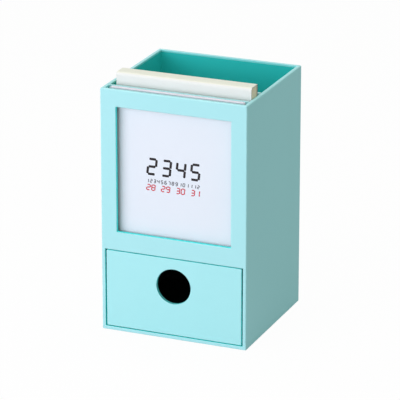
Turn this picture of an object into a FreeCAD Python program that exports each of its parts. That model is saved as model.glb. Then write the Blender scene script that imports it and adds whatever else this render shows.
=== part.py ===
import FreeCAD, Part
import os

# Desk calendar with a drawer, made of greyboard wrapped in paper.
# Millimetres. The origin is the middle of the underside, +Z is up and the front faces -Y.
# The case is one wrapped box: card slot, memo pocket and pen compartment above, drawer bay below.

# ---------------------------------------------------------------- driving dimensions
# case
case_width = 95.0
case_depth = 90.0
case_height = 155.0
board = 2.0                     # greyboard of the case, the pad divider and the drawer front
slim_board = 0.9                # thinner greyboard of the divider behind the cards
paper = 0.15                    # wrap and lining paper
corner_radius = 0.8             # outside corners and upper edges of the wrapped case
window_side_rail = 10.2         # front frame, left and right of the window
window_top_rail = 10.8
window_bottom_rail = 12.0       # front frame, between the window and the drawer
bay_height = 50.3               # clear height of the drawer bay

# calendar deck, loose in the slot behind the front frame
month_count = 12
card_thickness = 0.25
card_gap = 0.02                 # air between neighbouring cards
card_slot_play = 2.6            # free depth between the front frame and the cover card
card_play_left = 1.5
card_play_right = 1.9
card_top_drop = 0.3             # the cards end this far below the rim

# memo pad, loose in the pocket behind the card divider
pad_thickness = 10.0
pad_play_front = 3.4
pad_play_back = 3.3
pad_play_left = 2.8
pad_play_right = 0.3
pad_rise = 6.9                  # the pad stands this far above the rim
pad_fold_radius = 1.0           # where the cover folds over the top front edge
cover_card_stock = 0.5
pad_back_board = 0.8
glue_depth = 0.3

# drawer
drawer_board = 1.5              # tray walls and bottom
drawer_side_gap = 0.8
drawer_top_gap = 0.5
drawer_front_lift = 0.5         # the front's lower edge clears the base by this much
drawer_back_gap = 0.3
tray_drop = 4.4                 # the tray walls end this far below the front's upper edge
finger_hole_radius = 11.25
finger_hole_drop = 17.85        # hole centre below the drawer front's upper edge

# ---------------------------------------------------------------- worked out from them
wall = board + 2.0 * paper
front = -case_depth / 2.0
back = case_depth / 2.0
half_width = case_width / 2.0
inner_half = half_width - wall
board_half = half_width - paper - board
cut = 1.0                       # how far a cutting tool runs past the face that it cuts

bay_floor = wall
bay_top = bay_floor + bay_height
shelf_board_low = bay_top + paper
shelf_board_high = shelf_board_low + board
upper_floor = shelf_board_high + paper
board_top = case_height - paper

card_pitch = card_thickness + card_gap
card_divider_front = front + wall + card_slot_play + (month_count + 1) * card_pitch
card_divider_back = card_divider_front + slim_board + 2.0 * paper
pad_front = card_divider_back + pad_play_front
pad_back = pad_front + pad_thickness
pad_divider_front = pad_back + pad_play_back
pad_divider_back = pad_divider_front + wall
card_divider_y = (card_divider_front, card_divider_back)
pad_divider_y = (pad_divider_front, pad_divider_back)

window_x = (-half_width + window_side_rail, half_width - window_side_rail)
window_z = (bay_top + window_bottom_rail, case_height - window_top_rail)

drawer_half = inner_half - drawer_side_gap
drawer_front_z = (bay_floor + drawer_front_lift, bay_top - drawer_top_gap)
drawer_front_back = front + paper + board
drawer_back = back - wall - drawer_back_gap
tray_top = drawer_front_z[1] - tray_drop
hole_centre_z = drawer_front_z[1] - finger_hole_drop

pad_x = (-inner_half + pad_play_left, inner_half - pad_play_right)
pad_top = case_height + pad_rise
card_x = (-inner_half + card_play_left, inner_half - card_play_right)
card_z = (upper_floor, case_height - card_top_drop)


# ---------------------------------------------------------------- helpers
def block(x, y, z):
    """A box from three (low, high) spans."""
    corner = FreeCAD.Vector(x[0], y[0], z[0])
    return Part.makeBox(x[1] - x[0], y[1] - y[0], z[1] - z[0], corner)


def sides(half):
    """The span from -half to +half."""
    return (-half, half)


def grown(span, by):
    """A span made longer by the same amount at both ends."""
    return (span[0] - by, span[1] + by)


def upright_edges(shape):
    """The shape's vertical edges."""
    found = []
    for edge in shape.Edges:
        ends = [vertex.Point for vertex in edge.Vertexes]
        if abs(ends[0].x - ends[1].x) < 1e-6 and abs(ends[0].y - ends[1].y) < 1e-6:
            found.append(edge)
    return found


def rounded_block(x, y, z, radius):
    """A box whose four vertical edges are rounded."""
    plain = block(x, y, z)
    return plain.makeFillet(radius, upright_edges(plain))


def rounded_box(x, y, z, radius):
    """A box whose vertical and upper edges are rounded."""
    plain = block(x, y, z)
    upper = [edge for edge in plain.Edges if all(abs(end.Z - z[1]) < 1e-6 for end in edge.Vertexes)]
    return plain.makeFillet(radius, upright_edges(plain) + upper)


def finger_hole(radius, y):
    """A cylinder along Y through the drawer front, for the finger hole."""
    start = FreeCAD.Vector(0.0, y[0], hole_centre_z)
    return Part.makeCylinder(radius, y[1] - y[0], start, FreeCAD.Vector(0.0, 1.0, 0.0))


def folded_over(x, y, z, radius):
    """A box whose upper front edge is rounded, as a cover folds over a pad."""
    plain = block(x, y, z)
    edges = []
    for edge in plain.Edges:
        ends = [vertex.Point for vertex in edge.Vertexes]
        in_front = all(abs(end.y - y[0]) < 1e-6 for end in ends)
        on_top = all(abs(end.z - z[1]) < 1e-6 for end in ends)
        if in_front and on_top:
            edges.append(edge)
    return plain.makeFillet(radius, edges)


# ---------------------------------------------------------------- case boards
def wrapped_space():
    """The space inside the outer wrap, whose rounded edges the boards follow."""
    y = grown((front, back), -paper)
    return rounded_box(sides(half_width - paper), y, (-cut, board_top), corner_radius - paper)


def side_wall(sign):
    """A side wall board, with its outer corners and upper edge rounded under the wrap."""
    x = sorted((sign * board_half, sign * (half_width - paper)))
    plain = block(x, (front + paper, back - paper), (paper, board_top))
    return plain.common(wrapped_space())


def back_wall():
    """The back board, between the side walls."""
    plain = block(sides(board_half), (back - paper - board, back - paper), (paper, board_top))
    return plain.common(wrapped_space())


def base():
    """The base board, between the walls and behind the front wrap."""
    return block(sides(board_half), (front + paper, back - paper - board), (paper, paper + board))


def bay_roof():
    """The shelf that closes the drawer bay and carries the deck, the pad and the pens."""
    y = (front + paper + board, back - paper - board)
    return block(sides(board_half), y, (shelf_board_low, shelf_board_high))


def front_frame():
    """The front board above the drawer, with the window for the calendar."""
    y = (front + paper, front + paper + board)
    panel = block(sides(board_half), y, (shelf_board_low, board_top))
    window = block(grown(window_x, paper), grown(y, cut), grown(window_z, paper))
    return panel.cut(window).common(wrapped_space())


def divider(y):
    """A divider board that stands on the shelf between the side walls, inside its paper."""
    return block(sides(inner_half), grown(y, -paper), (upper_floor, board_top))


# ---------------------------------------------------------------- case papers
def case_wrap():
    """The outer paper: round all four sides, over the rim and through the window."""
    y = (front, back)
    outer = rounded_box(sides(half_width), y, (0.0, case_height), corner_radius)
    core = wrapped_space()
    mouth = block(sides(inner_half), grown(y, -wall), (upper_floor, case_height + cut))
    front_skin = (front - cut, front + paper + cut)
    drawer_mouth = block(sides(inner_half), front_skin, (bay_floor, bay_top))
    window_hole = block(grown(window_x, paper), front_skin, grown(window_z, paper))
    reveal_y = (front, front + paper + board)
    reveal = block(grown(window_x, paper), reveal_y, grown(window_z, paper))
    reveal = reveal.cut(block(window_x, grown(reveal_y, cut), window_z))
    sleeve = outer.cut(core).cut(mouth).cut(drawer_mouth).cut(window_hole)
    return sleeve.fuse(reveal).removeSplitter()


def base_sheet():
    """The paper that covers the underside, on which the calendar stands."""
    y = grown((front, back), -paper)
    return rounded_block(sides(half_width - paper), y, (0.0, paper), corner_radius - paper)


def wall_paper():
    """The lining of the left, back and right walls above the shelf."""
    y = (front + paper + board, back - paper - board)
    z = (shelf_board_high, board_top)
    outer = block(sides(board_half), y, z)
    return outer.cut(block(sides(inner_half), (y[0] - cut, y[1] - paper), grown(z, cut)))


def frame_back():
    """The paper on the rear face of the front frame."""
    y = (front + paper + board, front + wall)
    sheet = block(sides(inner_half), y, (shelf_board_high, board_top))
    return sheet.cut(block(window_x, grown(y, cut), window_z))


def upper_floor_sheet():
    """The paper on the shelf, under the deck, the pad and the dividers."""
    y = grown((front, back), -wall)
    return block(sides(inner_half), y, (shelf_board_high, upper_floor))


def divider_wrap(y):
    """The paper folded over a divider: both faces and the top edge."""
    z = (upper_floor, case_height)
    folded = block(sides(inner_half), y, z)
    return folded.cut(block(grown(sides(inner_half), cut), grown(y, -paper), (z[0] - cut, board_top)))


def bay_paper():
    """The lining of the drawer bay, open at the front."""
    y = (front + paper, back - paper - board)
    z = (bay_floor, bay_top)
    outer = block(sides(board_half), y, grown(z, paper))
    return outer.cut(block(sides(inner_half), (y[0] - cut, y[1] - paper), z))


# ---------------------------------------------------------------- drawer
tray_y = (drawer_front_back, drawer_back)
tray_z = (bay_floor, tray_top)
tray_wall = paper + drawer_board            # from the tray's outside to its boards' inner face


def drawer_face():
    """The drawer front, with the board's finger hole under its paper."""
    y = (front + paper, drawer_front_back)
    panel = block(sides(drawer_half - paper), y, grown(drawer_front_z, -paper))
    return panel.cut(finger_hole(finger_hole_radius + paper, grown(y, cut)))


def drawer_face_wrap():
    """The paper on the drawer front, round its edges and through the finger hole."""
    y = (front, drawer_front_back)
    outer = block(sides(drawer_half), y, drawer_front_z)
    core = block(sides(drawer_half - paper), (front + paper, y[1] + cut), grown(drawer_front_z, -paper))
    skin = outer.cut(core).cut(finger_hole(finger_hole_radius + paper, grown(y, cut)))
    sleeve = finger_hole(finger_hole_radius + paper, y)
    sleeve = sleeve.cut(finger_hole(finger_hole_radius, grown(y, cut)))
    return skin.fuse(sleeve).removeSplitter()


def tray_bottom():
    """The drawer's bottom board."""
    z = (bay_floor + paper, bay_floor + tray_wall)
    return block(sides(drawer_half - paper), (tray_y[0], tray_y[1] - paper), z)


def tray_side(sign):
    """A side board of the drawer, on the bottom board."""
    x = sorted((sign * (drawer_half - tray_wall), sign * (drawer_half - paper)))
    return block(x, (tray_y[0], tray_y[1] - paper), (bay_floor + tray_wall, tray_top - paper))


def tray_back():
    """The drawer's back board, between its side boards."""
    y = (tray_y[1] - tray_wall, tray_y[1] - paper)
    return block(sides(drawer_half - tray_wall), y, (bay_floor + tray_wall, tray_top - paper))


def tray_wrap():
    """The paper outside the drawer's sides, back and bottom, folded over their top edges."""
    lining_face = tray_wall + paper
    outer = block(sides(drawer_half), tray_y, tray_z)
    core = block(sides(drawer_half - paper), (tray_y[0] - cut, tray_y[1] - paper), grown(tray_z, -paper))
    mouth_y = (tray_y[0] - cut, tray_y[1] - lining_face)
    mouth = block(sides(drawer_half - lining_face), mouth_y, (tray_top - paper - cut, tray_top + cut))
    return outer.cut(core).cut(mouth)


def tray_lining():
    """The dark lining inside the drawer, which covers the back of its front too."""
    half = drawer_half - tray_wall
    y = (tray_y[0], tray_y[1] - tray_wall)
    z = (bay_floor + tray_wall, tray_top - paper)
    outer = block(sides(half), y, z)
    hollow = block(sides(half - paper), grown(y, -paper), (z[0] + paper, z[1] + cut))
    hole = finger_hole(finger_hole_radius, (y[0] - cut, y[0] + cut))
    return outer.cut(hollow).cut(hole)


# ---------------------------------------------------------------- calendar deck
def card(place):
    """One card of the deck: place 0 is the cover card, at the front."""
    y_back = card_divider_front - card_gap - (month_count - place) * card_pitch
    return block(card_x, (y_back - card_thickness, y_back), card_z)


# ---------------------------------------------------------------- memo pad
pad_core_y = (pad_front + cover_card_stock, pad_back - cover_card_stock)
pad_core_top = pad_top - cover_card_stock
pad_board_front = pad_core_y[1] - pad_back_board
glue_z = (pad_core_top - glue_depth, pad_core_top)


def pad_core():
    """Everything that the pad's cover holds."""
    return folded_over(pad_x, pad_core_y, (upper_floor, pad_core_top), pad_fold_radius - cover_card_stock)


def pad_glue():
    """The glue that binds the sheets at their upper edge."""
    y = (pad_front + pad_fold_radius, pad_board_front)
    return block(pad_x, y, glue_z)


def pad_board():
    """The stiff board behind the sheets."""
    return block(pad_x, (pad_board_front, pad_core_y[1]), (upper_floor, pad_core_top))


def pad_sheets():
    """The block of sheets, rounded where the cover folds over it."""
    return pad_core().cut(pad_board()).cut(pad_glue())


def pad_cover():
    """The folded cover: front, top and back in one piece."""
    outer = folded_over(pad_x, (pad_front, pad_back), (upper_floor, pad_top), pad_fold_radius)
    core = folded_over(grown(pad_x, cut), pad_core_y, (upper_floor - cut, pad_core_top),
                       pad_fold_radius - cover_card_stock)
    return outer.cut(core)


# ---------------------------------------------------------------- the nodes
nodes = {
    "left_wall_board": side_wall(-1.0),
    "right_wall_board": side_wall(1.0),
    "back_wall_board": back_wall(),
    "base_board": base(),
    "bay_roof_board": bay_roof(),
    "front_frame_board": front_frame(),
    "card_divider_board": divider(card_divider_y),
    "pad_divider_board": divider(pad_divider_y),
    "case_wrap_paper": case_wrap(),
    "base_paper": base_sheet(),
    "wall_lining": wall_paper(),
    "frame_back_paper": frame_back(),
    "upper_floor_paper": upper_floor_sheet(),
    "card_divider_wrap": divider_wrap(card_divider_y),
    "pad_divider_wrap": divider_wrap(pad_divider_y),
    "bay_lining": bay_paper(),
    "drawer_front_board": drawer_face(),
    "drawer_front_wrap": drawer_face_wrap(),
    "drawer_bottom_board": tray_bottom(),
    "drawer_left_board": tray_side(-1.0),
    "drawer_right_board": tray_side(1.0),
    "drawer_back_board": tray_back(),
    "drawer_outer_wrap": tray_wrap(),
    "drawer_lining": tray_lining(),
    "cover_card": card(0),
    "memo_cover": pad_cover(),
    "memo_sheets": pad_sheets(),
    "memo_back_board": pad_board(),
    "memo_glue_strip": pad_glue(),
}
for month in range(1, month_count + 1):
    nodes[f"month_card_{month:02d}"] = card(month)

os.makedirs("parts", exist_ok=True)
for name, shape in nodes.items():
    shape.exportStep(f"parts/{name}.step")
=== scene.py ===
"""Desk calendar case with a pen compartment, a drawer, a memo pad and a deck of month cards.

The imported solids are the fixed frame. Papers, cards, sheets and the binding glue are made here as detailed
pieces in the same places. The boards and the paper on the shelf keep their solids and get a worked finish.
Every size below is in millimetres, with the origin in the middle of the underside, +Z up and the front at
-Y. A mesh is turned into metres when it is stored.
"""

import logging
import math
import random
from collections.abc import Callable, Iterable, Sequence
from dataclasses import dataclass, field
from enum import Enum
from itertools import product

import bmesh
import bpy
from mathutils import Matrix, Vector


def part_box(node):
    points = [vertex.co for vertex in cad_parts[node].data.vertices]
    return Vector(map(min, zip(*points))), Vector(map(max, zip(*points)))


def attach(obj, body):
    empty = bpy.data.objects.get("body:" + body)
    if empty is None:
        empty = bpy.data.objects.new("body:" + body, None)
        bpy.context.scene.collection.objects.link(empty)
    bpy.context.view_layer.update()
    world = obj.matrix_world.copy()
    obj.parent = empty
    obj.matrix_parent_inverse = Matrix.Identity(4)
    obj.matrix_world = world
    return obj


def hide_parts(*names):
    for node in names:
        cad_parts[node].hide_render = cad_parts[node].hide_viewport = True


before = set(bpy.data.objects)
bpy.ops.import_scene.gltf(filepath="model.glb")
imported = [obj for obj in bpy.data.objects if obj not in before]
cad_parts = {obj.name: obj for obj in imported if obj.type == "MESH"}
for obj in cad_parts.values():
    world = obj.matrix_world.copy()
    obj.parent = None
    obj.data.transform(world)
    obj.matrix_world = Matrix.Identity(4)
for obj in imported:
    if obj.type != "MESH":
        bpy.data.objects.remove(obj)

log = logging.getLogger("desk_calendar")

MM = 0.001
PAPER = 0.15                # thickness of the wrap and lining papers
EDGE_RADIUS = 0.5
OUTER_RADIUS = 0.8
EDGE_STEPS = 4              # faces across each rounded edge or corner
FLAT_BELOW = 0.5            # faces that meet at a smaller angle, in degrees, are joined
ROUNDED_ABOVE = 60.0        # edges that fold outwards by more are rounded
SHARP_ABOVE = 40.0          # edges that fold by more are shaded sharp
ON_PLANE = 0.01             # nearer to a plane than this counts as on it
BESIDE = 0.1                # within this of a plane counts as beside it
FACING = 0.5                # a direction with more of an axis than this faces that way
SQUARE = 0.8                # a face with more of an axis than this belongs to the flat side, not the rounding
SPARE = 1.0                 # how far a block is drawn past the space that is cut out of it

Point = tuple[float, float, float]
Span = tuple[float, float]
Colour = tuple[float, float, float]
Side = Callable[[Vector, Vector], bool]     # picks a face by its middle and its outward direction

WHITE: Colour = (1.0, 1.0, 1.0)


# ---------------------------------------------------------------- node trees
class Graph:
    """Builds one node tree, for shading or for geometry, a node at a time."""

    def __init__(self, tree: bpy.types.NodeTree) -> None:
        """Keeps the tree that nodes are added to.

        Args:
            tree: The shader or geometry tree.
        """
        self.tree = tree

    def node(self, kind: str, settings: dict | None = None, values: dict | None = None) -> bpy.types.Node:
        """Adds a node, sets its settings and then feeds its sockets.

        Args:
            kind: The node's type name.
            settings: Its properties by name.
            values: Values or links by socket name or number.

        Returns:
            The new node.
        """
        made = self.tree.nodes.new(kind)
        for name, value in (settings or {}).items():
            setattr(made, name, value)
        for key, value in (values or {}).items():
            self.feed(made.inputs[key], value)
        return made

    def wire(
        self, kind: str, settings: dict | None = None, values: dict | None = None, out: int | str = 0,
    ) -> "Wire":
        """Adds a node as node() does and hands back one of its outputs.

        Args:
            kind: The node's type name.
            settings: Its properties by name.
            values: Values or links by socket name or number.
            out: The output's name or number.

        Returns:
            The output, ready for use in an expression.
        """
        return Wire(self, self.node(kind, settings, values).outputs[out])

    def feed(self, socket: bpy.types.NodeSocket, value: object) -> None:
        """Links a socket to a wire or a socket, or sets its own value.

        Args:
            socket: The input to feed.
            value: A wire, a socket or a plain value.
        """
        if isinstance(value, Wire):
            value = value.socket
        if isinstance(value, bpy.types.NodeSocket):
            self.tree.links.new(value, socket)
        elif isinstance(value, tuple) and len(value) == 3 and len(getattr(socket, "default_value", ())) == 4:
            socket.default_value = (*value, 1.0)
        else:
            socket.default_value = value

    def blend(self, factor: "Wire | float", low: object, high: object) -> "Wire":
        """Mixes two colours.

        Args:
            factor: 0 gives the first colour and 1 the second.
            low: The first colour.
            high: The second colour.

        Returns:
            The mixed colour.
        """
        return self.wire("ShaderNodeMix", {"data_type": "RGBA"}, {0: factor, 6: low, 7: high}, 2)

    def vector(self, x: object = 0.0, y: object = 0.0, z: object = 0.0) -> "Wire":
        """Puts three numbers together as a vector.

        Args:
            x: The first number or its wire.
            y: The second.
            z: The third.

        Returns:
            The vector.
        """
        return self.wire("ShaderNodeCombineXYZ", None, {0: x, 1: y, 2: z})

    def axes(self, place: "Wire") -> list["Wire"]:
        """Takes a vector apart.

        Args:
            place: The vector.

        Returns:
            Its three numbers.
        """
        parts = self.node("ShaderNodeSeparateXYZ", None, {0: place})
        return [Wire(self, output) for output in parts.outputs]


class Wire:
    """A socket that can be used in a Python expression; each operator adds its Math node."""

    def __init__(self, graph: Graph, socket: bpy.types.NodeSocket) -> None:
        """Keeps the socket and the graph that it belongs to.

        Args:
            graph: The graph that new nodes go to.
            socket: The output socket.
        """
        self.graph = graph
        self.socket = socket

    def _math(self, operation: str, first: object, second: object = 0.0, clamp: bool = False) -> "Wire":
        """Adds one Math node.

        Args:
            operation: The node's operation.
            first: Its first value or link.
            second: Its second value or link.
            clamp: Whether the result is kept between 0 and 1.

        Returns:
            The result.
        """
        settings = {"operation": operation, "use_clamp": clamp}
        return self.graph.wire("ShaderNodeMath", settings, {0: first, 1: second})

    def __add__(self, other: "Wire | float") -> "Wire":
        """Adds."""
        return self._math("ADD", self, other)

    __radd__ = __add__

    def __sub__(self, other: "Wire | float") -> "Wire":
        """Subtracts."""
        return self._math("SUBTRACT", self, other)

    def __rsub__(self, other: float) -> "Wire":
        """Subtracts this from a number."""
        return self._math("SUBTRACT", other, self)

    def __mul__(self, other: "Wire | float") -> "Wire":
        """Multiplies."""
        return self._math("MULTIPLY", self, other)

    __rmul__ = __mul__

    def __truediv__(self, other: "Wire | float") -> "Wire":
        """Divides."""
        return self._math("DIVIDE", self, other)

    def __abs__(self) -> "Wire":
        """Drops the sign."""
        return self._math("ABSOLUTE", self)

    def larger(self, other: "Wire | float") -> "Wire":
        """Gives the larger of the two."""
        return self._math("MAXIMUM", self, other)

    def smaller(self, other: "Wire | float") -> "Wire":
        """Gives the smaller of the two."""
        return self._math("MINIMUM", self, other)

    def above(self, limit: "Wire | float") -> "Wire":
        """Gives 1 where the value is above the limit and 0 elsewhere."""
        return self._math("GREATER_THAN", self, limit)

    def clamped(self) -> "Wire":
        """Keeps the value between 0 and 1."""
        return self._math("ADD", self, 0.0, clamp=True)

    def root(self) -> "Wire":
        """Gives the square root."""
        return self._math("SQRT", self)

    def swing(self, share: float) -> "Wire":
        """Gives how far a noise is from its middle, times a share."""
        return (self - 0.5) * share


# ---------------------------------------------------------------- blocks and openings
@dataclass(frozen=True)
class Block:
    """An upright block between two corners, in millimetres."""

    low: Point
    high: Point

    def holds(self, point: Sequence[float]) -> bool:
        """Says whether a point lies inside."""
        return all(a < p < b for a, p, b in zip(self.low, point, self.high))

    def span(self, axis: int) -> Span:
        """Gives where the block starts and ends on an axis."""
        return self.low[axis], self.high[axis]

    def grown(self, reach: float) -> "Block":
        """Gives the block that reaches further on every side."""
        return Block(tuple(v - reach for v in self.low), tuple(v + reach for v in self.high))

    def near(self, point: Sequence[float], reach: float) -> bool:
        """Says whether a point lies inside or within a reach of the block."""
        return self.grown(reach).holds(point)

    @property
    def middle(self) -> Vector:
        """The block's middle."""
        return (Vector(self.low) + Vector(self.high)) / 2


@dataclass(frozen=True)
class FrontOpening:
    """A rectangular opening in a front face, whose rims get the same rubbed wear and painted edge highlight
    as the outer edges.
    """

    x: Span
    z: Span

    def cut(self, depth: Span) -> Block:
        """Gives the block that the opening takes out between two depths."""
        return Block((self.x[0], depth[0], self.z[0]), (self.x[1], depth[1], self.z[1]))

    def looks_in(self, middle: Vector, outward: Vector) -> bool:
        """Says whether a face of the opening's rim looks into the opening.

        Args:
            middle: The face's middle.
            outward: The face's outward direction.

        Returns:
            True within an edge's radius of the opening, where the face looks at its middle.
        """
        aim = Vector((sum(self.x) / 2 - middle.x, 0.0, sum(self.z) / 2 - middle.z))
        across = self.x[0] - EDGE_RADIUS < middle.x < self.x[1] + EDGE_RADIUS
        upward = self.z[0] - EDGE_RADIUS < middle.z < self.z[1] + EDGE_RADIUS
        return across and upward and outward.dot(aim) > 0.0


def packed_block(node: str) -> Block:
    """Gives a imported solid's box at rest, to a thousandth of a millimetre.

    Args:
        node: The solid's name.

    Returns:
        The box.
    """
    low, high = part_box(node)
    return Block(tuple(round(v / MM, 3) for v in low), tuple(round(v / MM, 3) for v in high))


CASE = packed_block("case_wrap_paper")                      # the whole case
POCKET = packed_block("upper_floor_paper")                  # the floor between the compartments' walls
SHELF = POCKET.high[2]
BAY = packed_block("bay_lining").grown(-PAPER)              # the hollow that the drawer runs in
FACE = packed_block("drawer_front_wrap")                    # the drawer's front
TRAY = packed_block("drawer_outer_wrap")                    # the tray behind it
TRAY_ROOM = packed_block("drawer_lining").grown(-PAPER)     # the tray's hollow

WINDOW_SIDE = 10.2          # width of the front frame beside the window
WINDOW_TOP = 10.8           # its width above the window
WINDOW_FOOT = 12.0          # its width between the window and the drawer's mouth
MOUTH = FrontOpening(BAY.span(0), BAY.span(2))
WINDOW = FrontOpening(
    (CASE.low[0] + WINDOW_SIDE, CASE.high[0] - WINDOW_SIDE),
    (BAY.high[2] + WINDOW_FOOT, CASE.high[2] - WINDOW_TOP),
)


# ---------------------------------------------------------------- finishes
class Finish:
    """A named surface that is made once and shared by the pieces that use it."""

    name: str
    _made: dict[str, bpy.types.Material] = {}

    def material(self) -> bpy.types.Material:
        """Gives the material, making it at the first call.

        Returns:
            The finished material.
        """
        if self.name not in Finish._made:
            made = bpy.data.materials.new(self.name)
            made.use_nodes = True
            made.node_tree.nodes.clear()
            graph = Graph(made.node_tree)
            shader = self.shade(graph)
            graph.node("ShaderNodeOutputMaterial", None, {"Surface": shader})
            Finish._made[self.name] = made
        return Finish._made[self.name]

    def shade(self, graph: Graph) -> Wire:
        """Builds the surface.

        Args:
            graph: The material's graph.

        Returns:
            The shader's output.
        """
        raise NotImplementedError


def place_mm(graph: Graph) -> Wire:
    """Gives the point on the object in millimetres.

    Args:
        graph: The material's graph.

    Returns:
        The point as a vector.
    """
    own = graph.wire("ShaderNodeTexCoord", out="Object")
    scaled = {0: own, "Scale": 1.0 / MM}
    return graph.wire("ShaderNodeVectorMath", {"operation": "SCALE"}, scaled)


def noise(graph: Graph, place: Wire, size: float | Point, detail: float = 2.0, rough: float = 0.5) -> Wire:
    """Gives a soft noise whose spots are about a given size.

    Args:
        graph: The material's graph.
        place: The point in millimetres.
        size: The spots' size in millimetres, one number or one for each axis.
        detail: How many finer layers it has.
        rough: How strong the finer layers are.

    Returns:
        The noise, about 0 to 1.
    """
    scales = (size,) * 3 if isinstance(size, (int, float)) else size
    factors = tuple(1.0 / s for s in scales)
    stretched = graph.wire("ShaderNodeVectorMath", {"operation": "MULTIPLY"}, {0: place, 1: factors})
    values = {"Vector": stretched, "Scale": 1.0, "Detail": detail, "Roughness": rough}
    return graph.wire("ShaderNodeTexNoise", None, values)


def coat(
    graph: Graph, colour: Wire, roughness: Wire, gloss: float, height: Wire, strength: float,
) -> Wire:
    """Builds the opaque surface that paper, board, ink and glue have in common.

    Args:
        graph: The material's graph.
        colour: Its colour.
        roughness: Its roughness, kept between 0 and 1 here.
        gloss: How strongly it reflects.
        height: The relief in millimetres.
        strength: How much of the relief shows.

    Returns:
        The shader's output.
    """
    bump = {"Height": height, "Strength": strength, "Distance": MM}
    return graph.wire("ShaderNodeBsdfPrincipled", None, {
        "Base Color": colour,
        "Roughness": roughness.clamped(),
        "Specular IOR Level": gloss,
        "Normal": graph.wire("ShaderNodeBump", None, bump),
    })


def seen_directly(graph: Graph) -> Wire:
    """Gives 1 for the camera, for reflections and for what is seen through glass, and 0 for soft light.

    Args:
        graph: The graph of a material or of the sky.

    Returns:
        The mask.
    """
    paths = graph.node("ShaderNodeLightPath")
    camera, glossy, through = (
        Wire(graph, paths.outputs[f"Is {kind} Ray"]) for kind in ("Camera", "Glossy", "Transmission")
    )
    return camera.larger(glossy).larger(through)


def edge_nearness(
    graph: Graph, place: Wire, body: Block, reach: float, openings: Iterable[FrontOpening] = (),
) -> Wire:
    """Gives 1 at a block's edges and at the rims of its front openings, falling to 0 at a reach from them.

    Args:
        graph: The material's graph.
        place: The point in millimetres.
        body: The block whose edges count.
        reach: How far the effect goes, in millimetres.
        openings: Openings in its front.

    Returns:
        The nearness, 0 to 1.
    """
    axes = graph.axes(place)
    inward = []
    for axis, low, high in zip(axes, body.low, body.high):
        inward.append((high - low) / 2 - abs(axis - (high + low) / 2))
    total = inward[0] + inward[1] + inward[2]
    nearest = total - inward[0].larger(inward[1]).larger(inward[2])
    for hole in openings:
        across = abs(axes[0] - sum(hole.x) / 2) - (hole.x[1] - hole.x[0]) / 2
        upward = abs(axes[2] - sum(hole.z) / 2) - (hole.z[1] - hole.z[0]) / 2
        from_rim = abs(across.larger(upward)) + (axes[1] - body.low[1])
        nearest = nearest.smaller(from_rim)
    return (1.0 - nearest / reach).clamped()


@dataclass(frozen=True)
class Seam:
    """The pasted overlap where a sheet meets itself on the back of its body, with a painted shadow along the
    upper sheet's edge.
    """

    across: float                       # its place, from the middle of the back
    # line is the colour of the painted shadow along the upper sheet's edge; share is how strongly it shows.
    line: Colour = (0.16, 0.6, 0.63)    # colour of the upper sheet's edge
    share: float = 0.5                  # how strongly that edge shows
    step: float = 0.16                  # how much higher the upper sheet lies
    slope: float = 0.2                  # width over which it rises
    half_line: float = 0.4              # how far the edge's colour spreads to each side
    depth: float = 0.2                  # how near to the back it shows

    def masks(self, graph: Graph, place: Wire, back: float) -> tuple[Wire, Wire]:
        """Finds the overlap.

        Args:
            graph: The material's graph.
            place: The point in millimetres.
            back: Where the body's back is.

        Returns:
            1 on the overlap's upper sheet, and 1 along the edge of that sheet, where the shadow is painted.
        """
        across, depth, _ = graph.axes(place)
        behind = depth.above(back - self.depth)
        flap = ((across - self.across) / self.slope + 0.5).clamped() * behind
        line = (1.0 - abs(across - self.across) / self.half_line).clamped() * behind
        return flap, line


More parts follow.
